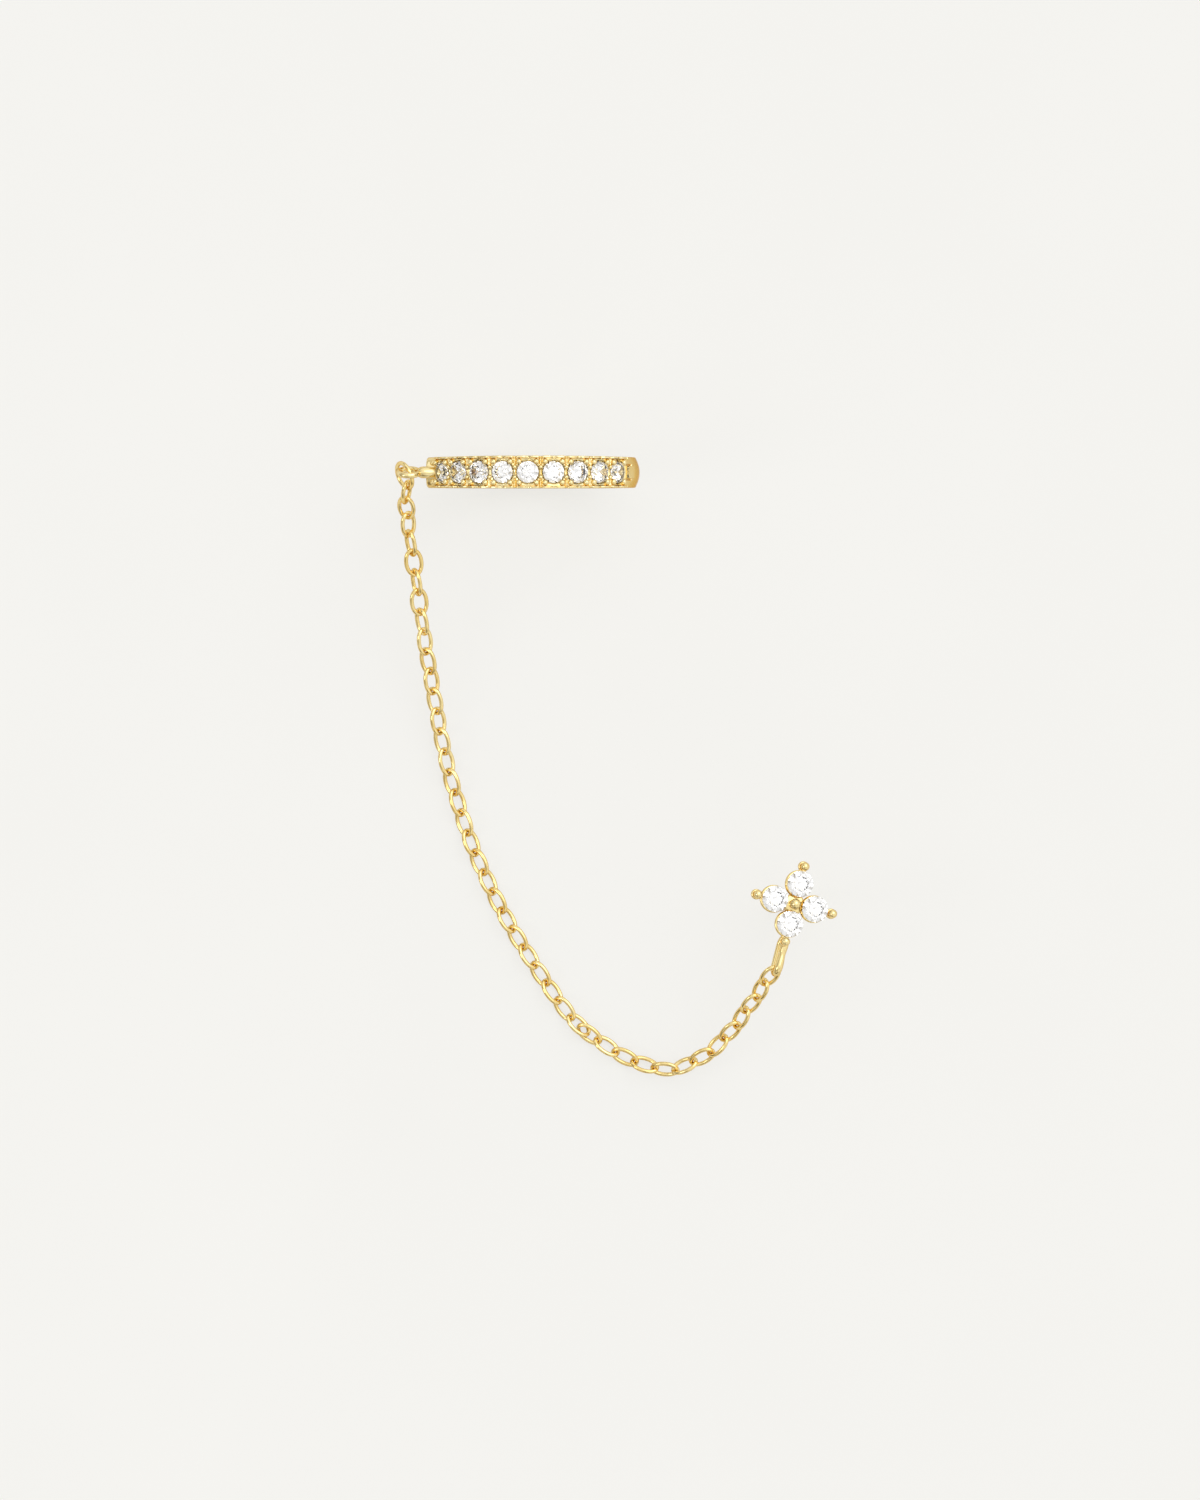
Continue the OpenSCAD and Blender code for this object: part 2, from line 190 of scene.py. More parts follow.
card_paint, card_tree, card_shader = new_material("pale_card")
card_cloud = card_tree.nodes.new("ShaderNodeTexNoise")
card_ramp = card_tree.nodes.new("ShaderNodeValToRGB")
card_place = card_tree.nodes.new("ShaderNodeTexCoord")
card_cloud.inputs["Scale"].default_value = 60.0
card_ramp.color_ramp.elements[0].color = (0.170, 0.168, 0.160, 1.0)
card_ramp.color_ramp.elements[1].color = (0.190, 0.188, 0.180, 1.0)
card_tree.links.new(card_place.outputs["Object"], card_cloud.inputs["Vector"])
card_tree.links.new(card_cloud.outputs["Fac"], card_ramp.inputs["Fac"])
card_eye = card_tree.nodes.new("ShaderNodeLightPath")
card_side = card_tree.nodes.new("ShaderNodeMix")
card_side.data_type = "RGBA"
# A is what the gold and the stones see, and B is what the camera sees
card_side.inputs["A"].default_value = (0.76, 0.75, 0.72, 1.0)
card_tree.links.new(card_eye.outputs["Is Camera Ray"], card_side.inputs["Factor"])
card_tree.links.new(card_ramp.outputs["Color"], card_side.inputs["B"])
card_tree.links.new(card_side.outputs["Result"], card_shader.inputs["Base Color"])
card_tree.links.new(card_eye.outputs["Is Camera Ray"], card_shader.inputs["Emission Strength"])
card_shader.inputs["Emission Color"].default_value = (0.706, 0.702, 0.682, 1.0)
card_shader.inputs["Roughness"].default_value = 0.9
card_shader.inputs["Specular IOR Level"].default_value = 0.2

CARD_REACH = 1.5
card_mesh = bpy.data.meshes.new("card")
corner_signs = ((-1, -1), (1, -1), (1, 1), (-1, 1))
card_corners = [(x * CARD_REACH, y * CARD_REACH, cad_low.z) for x, y in corner_signs]
card_mesh.from_pydata(card_corners, [], [(0, 1, 2, 3)])
card_mesh.materials.append(card_paint)
card = bpy.data.objects.new("card", card_mesh)
scene.collection.objects.link(card)
print("card at", round(cad_low.z / MM, 2), "mm")

# %% [markdown]
# ## Gold
# All the metal is the same polished yellow gold plating, but cast pieces such as the cuff keep a
# little waviness, while drawn wire is smoother. One node group makes the effect from two noises:
# broad clouds tint the colour, fine grain changes the gloss, and both raise the surface a
# hair's breadth. Each metal places the group with its own values. Towards its edges a real gold
# wire looks deeper, which the shader's tint for grazing reflections gives.


# %% The plating effect as a node group
def plating_group():
    """Clouds mix two golds; grain spreads the roughness; the height is both, for a Bump node."""
    group = bpy.data.node_groups.new("gold_plating", "ShaderNodeTree")
    for name, kind in [("Place", "NodeSocketVector"), ("Bright Gold", "NodeSocketColor"),
                       ("Deep Gold", "NodeSocketColor"), ("Clouds Per Metre", "NodeSocketFloat"),
                       ("Grains Per Metre", "NodeSocketFloat"), ("Smoothest", "NodeSocketFloat"),
                       ("Roughest", "NodeSocketFloat")]:
        group.interface.new_socket(name=name, in_out="INPUT", socket_type=kind)
    for name, kind in [("Colour", "NodeSocketColor"), ("Roughness", "NodeSocketFloat"),
                       ("Height", "NodeSocketFloat")]:
        group.interface.new_socket(name=name, in_out="OUTPUT", socket_type=kind)
    given = group.nodes.new("NodeGroupInput")
    made = group.nodes.new("NodeGroupOutput")
    clouds = group.nodes.new("ShaderNodeTexNoise")
    grain = group.nodes.new("ShaderNodeTexNoise")
    tint = group.nodes.new("ShaderNodeMix")
    tint.data_type = "RGBA"
    gloss = group.nodes.new("ShaderNodeMapRange")
    share = group.nodes.new("ShaderNodeMapRange")
    relief = group.nodes.new("ShaderNodeMix")
    clouds.inputs["Detail"].default_value = 1.0
    grain.inputs["Detail"].default_value = 2.0
    share.inputs["From Min"].default_value = 0.35
    share.inputs["From Max"].default_value = 0.65
    gloss.inputs["From Min"].default_value = 0.3
    gloss.inputs["From Max"].default_value = 0.7
    relief.inputs["Factor"].default_value = 0.35
    link = group.links.new
    link(given.outputs["Place"], clouds.inputs["Vector"])
    link(given.outputs["Place"], grain.inputs["Vector"])
    link(given.outputs["Clouds Per Metre"], clouds.inputs["Scale"])
    link(given.outputs["Grains Per Metre"], grain.inputs["Scale"])
    link(clouds.outputs["Fac"], share.inputs["Value"])
    link(share.outputs["Result"], tint.inputs["Factor"])
    link(given.outputs["Deep Gold"], tint.inputs["A"])
    link(given.outputs["Bright Gold"], tint.inputs["B"])
    link(grain.outputs["Fac"], gloss.inputs["Value"])
    link(given.outputs["Smoothest"], gloss.inputs["To Min"])
    link(given.outputs["Roughest"], gloss.inputs["To Max"])
    link(clouds.outputs["Fac"], relief.inputs["A"])
    link(grain.outputs["Fac"], relief.inputs["B"])
    link(tint.outputs["Result"], made.inputs["Colour"])
    link(gloss.outputs["Result"], made.inputs["Roughness"])
    link(relief.outputs["Result"], made.inputs["Height"])
    return group


plating = plating_group()
print("group", plating.name, "with", len(plating.nodes), "nodes")


# %% The three golds
EDGE_TINT = (0.80, 0.56, 0.28, 1.0)


def gold(name, bright, deep, clouds, grains, gloss, relief):
    """A metallic gold that places the plating group: clouds and grains are so many to the metre,
    gloss is the range of its roughness, and relief is the height of its waves in mm."""
    material, tree, shader = new_material(name)
    effect = tree.nodes.new("ShaderNodeGroup")
    effect.node_tree = plating
    place = tree.nodes.new("ShaderNodeTexCoord")
    bump = tree.nodes.new("ShaderNodeBump")
    effect.inputs["Bright Gold"].default_value = (*bright, 1.0)
    effect.inputs["Deep Gold"].default_value = (*deep, 1.0)
    effect.inputs["Clouds Per Metre"].default_value = clouds
    effect.inputs["Grains Per Metre"].default_value = grains
    effect.inputs["Smoothest"].default_value = gloss[0]
    effect.inputs["Roughest"].default_value = gloss[1]
    bump.inputs["Strength"].default_value = 1.0
    bump.inputs["Distance"].default_value = relief * MM
    shader.inputs["Metallic"].default_value = 1.0
    shader.inputs["Specular Tint"].default_value = EDGE_TINT
    tree.links.new(place.outputs["Object"], effect.inputs["Place"])
    tree.links.new(effect.outputs["Colour"], shader.inputs["Base Color"])
    tree.links.new(effect.outputs["Roughness"], shader.inputs["Roughness"])
    tree.links.new(effect.outputs["Height"], bump.inputs["Height"])
    tree.links.new(bump.outputs["Normal"], shader.inputs["Normal"])
    print(name, "has its waves", relief, "mm high")
    return material


cuff_gold = gold("cuff_gold", bright=(0.95, 0.81, 0.45), deep=(0.91, 0.74, 0.36),
                 clouds=700, grains=5200, gloss=(0.08, 0.20), relief=0.012)
chain_gold = gold("chain_gold", bright=(0.97, 0.79, 0.38), deep=(0.92, 0.70, 0.28),
                  clouds=500, grains=4200, gloss=(0.05, 0.14), relief=0.006)
flower_gold = gold("flower_gold", bright=(0.95, 0.80, 0.42), deep=(0.91, 0.72, 0.33),
                   clouds=600, grains=4600, gloss=(0.06, 0.16), relief=0.008)

# %% [markdown]
# ## Clear stones
# The stones are cubic zirconia, which bends light far more than glass. The shader is plain clear
# glass with that index. A hardly visible cloud in the colour stands for the film that every small
# stone carries.

# %% The stone material
stone_clear, stone_tree, stone_shader = new_material("clear_stone")
stone_film = stone_tree.nodes.new("ShaderNodeTexNoise")
stone_tint = stone_tree.nodes.new("ShaderNodeValToRGB")
stone_place = stone_tree.nodes.new("ShaderNodeTexCoord")
stone_film.inputs["Scale"].default_value = 900.0
stone_tint.color_ramp.elements[0].color = (0.985, 0.985, 0.985, 1.0)
stone_tint.color_ramp.elements[1].color = (1.0, 1.0, 1.0, 1.0)
stone_tree.links.new(stone_place.outputs["Object"], stone_film.inputs["Vector"])
stone_tree.links.new(stone_film.outputs["Fac"], stone_tint.inputs["Fac"])
stone_tree.links.new(stone_tint.outputs["Color"], stone_shader.inputs["Base Color"])
stone_shader.inputs["Transmission Weight"].default_value = 1.0
stone_shader.inputs["Roughness"].default_value = 0.03
stone_shader.inputs["IOR"].default_value = 2.15
print("stone index", stone_shader.inputs["IOR"].default_value)

# %% [markdown]
# ## Meshes from grids of points
# Every surface here is a table of points with rows and columns, and neighbours in the table are
# joined by four-sided faces. A closed skin is a row of rings: the last ring joins the first, or
# each end is closed by a fan round a tip. A piece may hold several closed skins that run into
# each other, as soldered wire does.


# %% Faces of a grid
def grid_faces(rows, cols, close_rows=False, close_cols=False):
    """Point (r, c) has the number r * cols + c; a face joins (r, c), (r+1, c), (r+1, c+1), (r, c+1)."""
    r, c = np.meshgrid(np.arange(rows if close_rows else rows - 1),
                       np.arange(cols if close_cols else cols - 1), indexing="ij")
    below, right = (r + 1) % rows, (c + 1) % cols
    corners = [r * cols + c, below * cols + c, below * cols + right, r * cols + right]
    return np.stack(corners, -1).reshape(-1, 4)


print("a grid of 3 by 4 points has", len(grid_faces(3, 4)), "faces")


# %% A skin carried over rings
def carried(rings, closed=False, tips=None):
    """The skin through rings, an array (n, m, 3). If it isn't closed, a fan of triangles joins each
    end ring to its tip, which is the ring's mean unless tips gives two points."""
    count, around, _ = rings.shape
    points = rings.reshape(-1, 3)
    sides = grid_faces(count, around, close_rows=closed, close_cols=True)
    if closed:
        return points, [sides]
    here = np.arange(around)
    after = (here + 1) % around
    last = (count - 1) * around
    first_tip = np.full(around, count * around)
    start = np.stack([here, after, first_tip], 1)
    end = np.stack([last + after, last + here, first_tip + 1], 1)
    if tips is None:
        tips = (rings[0].mean(0), rings[-1].mean(0))
    return np.concatenate([points, np.asarray(tips)]), [sides, start, end]


print("5 rings of 8 points and two tips make", len(carried(np.zeros((5, 8, 3)))[0]), "points")


# %% A finished piece
SHARP_ANGLE = 42


def signed_volume(points, faces):
    """The sum of a . (b x c) / 6 over the triangles a, b, c; four-sided faces count as two."""
    total = 0.0
    for group in faces:
        for k in range(1, group.shape[1] - 1):
            a, b, c = points[group[:, 0]], points[group[:, k]], points[group[:, k + 1]]
            total += (a * np.cross(b, c)).sum() / 6
    return total


def add_piece(name, skins, material, stands_for, smooth=True):
    """Joins closed skins, each (points in mm, [face arrays]), into one mesh; a skin whose signed
    volume is negative is turned. The piece rides on the row's one body and replaces CAD nodes."""
    points, faces, start = [], [], 0
    for skin_points, skin_faces in skins:
        turned_in = signed_volume(skin_points, skin_faces) < 0
        faces += [(group[:, ::-1] if turned_in else group) + start for group in skin_faces]
        points.append(skin_points)
        start += len(skin_points)
    corners = np.concatenate([group.ravel() for group in faces])
    sizes = np.concatenate([np.full(len(group), group.shape[1]) for group in faces])
    mesh = bpy.data.meshes.new(name)
    mesh.vertices.add(start)
    mesh.vertices.foreach_set("co", np.concatenate(points).ravel() * MM)
    mesh.loops.add(len(corners))
    mesh.loops.foreach_set("vertex_index", corners.astype(np.int32))
    mesh.polygons.add(len(sizes))
    mesh.polygons.foreach_set("loop_start", (np.cumsum(sizes) - sizes).astype(np.int32))
    mesh.update(calc_edges=True)
    mesh.polygons.foreach_set("use_smooth", np.full(len(sizes), smooth))
    if smooth:
        mesh.set_sharp_from_angle(angle=np.radians(SHARP_ANGLE))
    mesh.materials.append(material)
    piece = bpy.data.objects.new(name, mesh)
    scene.collection.objects.link(piece)
    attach(piece, "root")
    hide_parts(*stands_for)
    print(name, "has", int((sizes - 2).sum()), "triangles")


# %% Small helpers
def unit(v):
    """v divided by its length, along the last axis."""
    return v / np.linalg.norm(v, axis=-1, keepdims=True)


def smooth_step(value, low, high):
    """0 below low, 1 above high, and 3 t t - 2 t t t between."""
    t = np.clip((value - low) / (high - low), 0.0, 1.0)
    return t * t * (3 - 2 * t)


def circle_angles(steps):
    """Angles of equal steps round a full circle, without the last, which is the first again."""
    return np.linspace(0, 2 * np.pi, steps, endpoint=False)


def bell(distance, height, width):
    """height exp(-(distance / width)^2)."""
    return height * np.exp(-(distance / width) ** 2)


x_axis, y_axis, z_axis = np.eye(3)
print("a quarter of the way, a smooth step has reached", float(smooth_step(0.25, 0.0, 1.0)))


# %% Lathe skins, wires and arcs
def turned(profile, frame_at, steps=48):
    """A lathe skin: profile is (radius, height) from axis to axis; frame_at is (centre, x, y, z).
    Point = centre + radius (cos a x + sin a y) + height z."""
    centre, x, y, z = frame_at
    profile = np.asarray(profile, float)
    a = circle_angles(steps)[None, :, None]
    radius, height = profile[1:-1, 0][:, None, None], profile[1:-1, 1][:, None, None]
    rings = centre + radius * (np.cos(a) * x + np.sin(a) * y) + height * z
    return carried(rings, tips=(centre + profile[0, 1] * z, centre + profile[-1, 1] * z))


def wire(path, normal, thickness, closed=True, sides=16):
    """A round wire along a flat path, an array (n, 3) in a plane with that normal.
    Point = path + thickness / 2 (cos b outward + sin b normal)."""
    if closed:
        along = np.roll(path, -1, 0) - np.roll(path, 1, 0)
    else:
        along = np.gradient(path, axis=0)
    outward = unit(np.cross(along, normal))[:, None, :]
    b = circle_angles(sides)[None, :, None]
    radius = np.broadcast_to(thickness, len(path))[:, None, None] / 2
    return carried(path[:, None, :] + radius * (np.cos(b) * outward + np.sin(b) * normal), closed)


def arc_points(centre, radius, low, high, steps):
    """Points (radius cos a, radius sin a) + centre for angles from low to high, in degrees."""
    a = np.radians(np.linspace(low, high, steps))
    return np.stack([centre[0] + radius * np.cos(a), centre[1] + radius * np.sin(a)], 1)


print("a half turn in 4 steps ends at", np.round(arc_points((0, 0), 1.0, 0, 180, 5)[-1], 3))

# %% [markdown]
# ## Reading places from the exact model
# The CAD nodes already hold every stone, ring and link in place. Their triangles are loose, so
# equal corners are merged first. A flat ring and a stone alike spread least along their axis, so
# the axis comes from how the corners spread. A stone's culet is the corner farthest along it.


# %% Corners of a CAD node
def cad_corners(node):
    """The corners of a node in mm, merged where they agree to 0.0001 mm, and its triangles as
    numbers of those corners."""
    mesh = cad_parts[node].data
    places = np.empty(len(mesh.vertices) * 3)
    mesh.vertices.foreach_get("co", places)
    loops = np.empty(len(mesh.loops), np.int32)
    mesh.loops.foreach_get("vertex_index", loops)
    corners, number = np.unique(np.round(places.reshape(-1, 3) / MM, 4), axis=0, return_inverse=True)
    return corners, number.ravel()[loops].reshape(-1, 3)


def flat_frame(corners):
    """(centre, along, across, normal): the directions in which the corners spread most to least."""
    centre = corners.mean(0)
    _, _, directions = np.linalg.svd(corners - centre, full_matrices=False)
    return centre, directions[0], directions[1], np.cross(directions[0], directions[1])


def stone_frame(node):
    """(middle of the girdle, x, y, axis) and the diameter of a CAD stone. The axis runs from the
    culet to the table's middle; the table's corners are those within 0.01 mm of the top."""
    corners, _ = cad_corners(node)
    middle, _, _, axis = flat_frame(corners)
    height = (corners - middle) @ axis
    culet = corners[np.abs(height).argmax()]
    height = height * np.sign((middle - culet) @ axis)
    table = corners[height > height.max() - 0.01]
    axis = unit(table.mean(0) - culet)
    side = table[0] - table.mean(0)
    side = unit(side - (side @ axis) * axis)
    away = corners - culet - ((corners - culet) @ axis)[:, None] * axis
    diameter = 2 * np.linalg.norm(away, axis=1).max()
    return (culet + PAVILION * diameter * axis, side, np.cross(axis, side), axis), diameter


# Width of the table and heights of the crown, girdle and pavilion, as shares of a stone's diameter
TABLE, CROWN, GIRDLE, PAVILION = 0.57, 0.16, 0.03, 0.43
row_frames = [stone_frame(f"cuff_stone_{k}") for k in range(1, 10)]
flower_frames = [stone_frame(f"flower_stone_{k}") for k in range(1, 5)]
print("row stones", round(row_frames[0][1], 3), "mm, petals", round(flower_frames[0][1], 3), "mm")

# %% [markdown]
# ## The round cut
# A round brilliant has 57 facets: a table, 8 stars, 8 kites and 16 upper halves over the girdle,
# and 16 lower halves and 8 mains under it. A facet is only flat if its corners are: the corner
# between two kites lies on both their planes, so its height follows from its distance, and so
# does the corner between two mains. Each facet stays flat shaded, since that is what sparkles.


# %% A brilliant with 57 facets
def brilliant(frame_at, diameter):
    """Rings of 8 or 16 corners: table T, star S, girdle G and H, lower halves L and the culet.
    With p = r cos 22.5 deg, S has z = zt + (zg - zt)(p - rt) / (rg - rt) on the kites' planes,
    and L has z = zc + (zl - zc) p / rg on the mains' planes."""
    centre, x, y, z = frame_at
    r_girdle, half_step = diameter / 2, np.pi / 8
    z_table, z_upper = (CROWN + GIRDLE / 2) * diameter, GIRDLE / 2 * diameter
    z_culet = -PAVILION * diameter
    table_flat = TABLE * r_girdle
    r_table = table_flat / np.cos(half_step)
    r_star = table_flat + STAR_SHARE * (r_girdle - table_flat)
    r_lower = LOWER_SHARE * r_girdle
    star_way = (r_star * np.cos(half_step) - r_table) / (r_girdle - r_table)
    z_star = z_table + (z_upper - z_table) * star_way
    z_lower = z_culet + (-z_upper - z_culet) * r_lower * np.cos(half_step) / r_girdle

    def ring(radius, height, first, count):
        a = first + circle_angles(count)[:, None]
        return centre + radius * (np.cos(a) * x + np.sin(a) * y) + height * z

    points = np.concatenate([
        ring(r_table, z_table, 0, 8), ring(r_star, z_star, half_step, 8),
        ring(r_girdle, z_upper, 0, 16), ring(r_girdle, -z_upper, 0, 16),
        ring(r_lower, z_lower, half_step, 8), [centre + z_culet * z]])
    k = np.arange(8)
    k2 = (k + 1) % 8
    g, h, g2 = 16 + 2 * k, 17 + 2 * k, 16 + 2 * k2
    culet = np.full(8, 56)
    threes = np.concatenate([
        np.stack([k, 8 + k, k2], 1),
        np.stack([8 + k, g, h], 1), np.stack([8 + k, h, g2], 1),
        np.stack([48 + k, h + 16, g + 16], 1), np.stack([48 + k, g2 + 16, h + 16], 1)])
    fours = np.concatenate([
        np.stack([k2, 8 + k, g2, 8 + k2], 1),
        np.stack([g, g + 16, h + 16, h], 1), np.stack([h, h + 16, g2 + 16, g2], 1),
        np.stack([culet, 48 + k2, g2 + 16, 48 + k], 1)])
    return points, [np.arange(8)[None, :], threes, fours]


# How far the stars reach towards the girdle, and where the lower halves begin, both from the middle
STAR_SHARE, LOWER_SHARE = 0.52, 0.24
for k, (frame_at, diameter) in enumerate(row_frames, 1):
    add_piece(f"row_stone_{k}", [brilliant(frame_at, diameter)], stone_clear,
              [f"cuff_stone_{k}"], smooth=False)
for k, (frame_at, diameter) in enumerate(flower_frames, 1):
    add_piece(f"petal_stone_{k}", [brilliant(frame_at, diameter)], stone_clear,
              [f"flower_stone_{k}"], smooth=False)

# %% [markdown]
# ## The ear cuff's band
# The band is one ring-shaped surface: for each angle round the ear and each place across the band
# there is one distance from the middle. That distance is built up like a cutter works: a plain
# band with dropped edges, a ledge between two thin rims, cone-shaped seats for the stones, a slot
# between two stones and notches in the rims. Behind the last stone is a small rectangular pad with
# a fine groove round it. In the photo the row is widest in its middle, so the band tapers a little
# towards both ends. The grid is very fine along the stones and the pad only.

# %% The band's measures, in mm and degrees
OUTER_R, INNER_R, HALF_WIDTH = 6.1, 4.8, 0.935
BAND_START, BAND_SWEEP, ROW_END = -67.5, 334.0, 61.38
RIM_R, LEDGE_R, GIRDLE_R = 6.25, 6.08, 6.02
stone_angles = np.array([np.degrees(np.arctan2(at[0][0], at[0][2])) for at, _ in row_frames])
row_pitch = np.diff(stone_angles).mean()
gap_angles = stone_angles[0] + (np.arange(10) - 0.5) * row_pitch
print("stones every", round(row_pitch, 3), "degrees from", round(stone_angles[0], 2))


# %% Places round the band
def from_nearest(angle, places):
    """Signed distance in mm round the band from the nearest of the places, given in degrees."""
    away = np.asarray(angle)[..., None] - places
    nearest = np.abs(away).argmin(-1)[..., None]
    return np.radians(np.take_along_axis(away, nearest, -1)[..., 0]) * GIRDLE_R


TAPER, TAPER_FROM, TAPER_TO = 0.06, 12, 66


def half_width(angle):
    """Half the band's width: HALF_WIDTH in the middle of the row and TAPER less past its ends."""
    return HALF_WIDTH - TAPER * smooth_step(np.abs(angle), TAPER_FROM, TAPER_TO)


print("half the width at the row's start:", round(float(half_width(BAND_START)), 3), "mm")


# %% Height of the plain band
CROWN_FLAT, CROWN_DROP = 0.65, 0.30
FLAT_FROM, FLAT_TO = 105, 150
STEEPEST = 0.96


def plain_level(angle, y):
    """The plain band. Where it lies it is flat in the middle and past CROWN_FLAT it drops as a quarter
    of an ellipse; beside the row it is crowned, so it drops by CROWN_DROP (y / HALF_WIDTH)^2."""
    t = np.clip((np.abs(y) - CROWN_FLAT) / (HALF_WIDTH - CROWN_FLAT), 0.0, 1.0)
    flat = 1 - np.sqrt(1 - STEEPEST * t * t)
    crowned = (y / HALF_WIDTH) ** 2
    shape = crowned + (flat - crowned) * smooth_step(angle, FLAT_FROM, FLAT_TO)
    return OUTER_R - CROWN_DROP * shape


print("beside the row the band's edge is at", round(float(plain_level(90, HALF_WIDTH)), 2), "mm")


# %% Height of the stone row
# Height and width of the bells that cut the rims and the ledge
GAP_NOTCH, STONE_SCOOP, VALLEY = (0.13, 0.09), (0.11, 0.14), (0.08, 0.08)
# Where each slope starts and ends, in mm from the band's edge, its middle line, the gap or the stone
RIM_SLOPE, VALLEY_SLOPE = (0.11, 0.16), (0.38, 0.48)
SLOT_SIDE, SLOT_END, SLOT_DEPTH = (0.04, 0.07), (0.14, 0.19), 0.06
SEAT_R, SEAT_EDGE, SEAT_DEPTH = 0.64, 0.06, 0.54
SEAT_WALL = (SEAT_R - 0.007, SEAT_R + 0.01)
BEVEL_FOOT, BEVEL_SLOPE = 0.02, 0.70


def row_level(angle, y):
    """The stone row: rims that are scalloped by bells, a ledge that falls to a valley outside each
    gap, a bevel GIRDLE_R - BEVEL_FOOT + BEVEL_SLOPE (r - SEAT_R) round each stone, the cone
    GIRDLE_R - SEAT_EDGE - SEAT_DEPTH (1 - r / SEAT_R) under it, and a slot in each gap."""
    gap, stone = from_nearest(angle, gap_angles), from_nearest(angle, stone_angles)
    rim = RIM_R - bell(gap, *GAP_NOTCH) - bell(stone, *STONE_SCOOP)
    r = np.hypot(stone, y)
    bevel = GIRDLE_R - BEVEL_FOOT + BEVEL_SLOPE * (r - SEAT_R)
    valley = bell(gap, *VALLEY) * smooth_step(np.abs(y), *VALLEY_SLOPE)
    ledge = np.minimum(LEDGE_R - valley, bevel)
    from_edge = half_width(angle) - np.abs(y)
    level = ledge + (rim - ledge) * (1 - smooth_step(from_edge, *RIM_SLOPE))
    cone = GIRDLE_R - SEAT_EDGE - SEAT_DEPTH * (1 - np.minimum(r, SEAT_R) / SEAT_R)
    level = cone + (level - cone) * smooth_step(r, *SEAT_WALL)
    slot = (1 - smooth_step(np.abs(gap), *SLOT_SIDE)) * (1 - smooth_step(np.abs(y), *SLOT_END))
    inner_gap = (angle > stone_angles[0]) & (angle < stone_angles[-1])
    return level - SLOT_DEPTH * slot * inner_gap


print("rim over a gap at", round(float(row_level(gap_angles[4], HALF_WIDTH)), 2), "mm")


# %% Height of the whole outer face
# Start and end round the band, counted from the row's end, and half the width
PAD, PAD_WITH_GROOVE = (0.08, 0.80, 0.355), (0.04, 0.87, 0.43)
PAD_R, PAD_GROOVE, PAD_SLOPE = 6.225, 0.08, 0.04
ROW_FADE = 0.06


def plateau(past, y, low, high, half):
    """1 from low to high round the band and within half across it, with slopes of PAD_SLOPE."""
    along = smooth_step(past, low - PAD_SLOPE, low) * (1 - smooth_step(past, high, high + PAD_SLOPE))
    return along * (1 - smooth_step(np.abs(y), half, half + PAD_SLOPE))


def cuff_level(angle, y):
    """The stone row up to ROW_END, then the plain band with a small raised pad on it. A groove as
    deep as PAD_GROOVE runs round the pad: it is where a wider pad is and the pad itself isn't."""
    past = np.radians(angle - ROW_END) * OUTER_R
    pad = plateau(past, y, *PAD)
    groove = plateau(past, y, *PAD_WITH_GROOVE) - pad
    plain = plain_level(angle, y)
    plain = plain + (PAD_R - plain) * pad - PAD_GROOVE * groove
    row = row_level(angle, y)
    return row + (plain - row) * smooth_step(past, 0.0, ROW_FADE)


print("pad at", round(float(cuff_level(ROW_END + 4, 0.0)), 3), "mm")

# %% The band as rings across
END_ROUND, START_CHAMFER, TIP_BLUNT = 0.05, 0.283, 0.03
# Depth and width of the bell that draws the sides in at a gap
WAIST_AT_GAP = (0.03, 0.11)
# Radii of the rounded edges, and where the row's changes to the plain band's, in mm from the start
ROW_EDGE, PLAIN_EDGE, INNER_EDGE = 0.05, 0.11, 0.12
EDGE_CHANGE = (13.6, 14.2)
# An edge's radius is at most this share of half the width
MOST_OF_HALF = 0.7


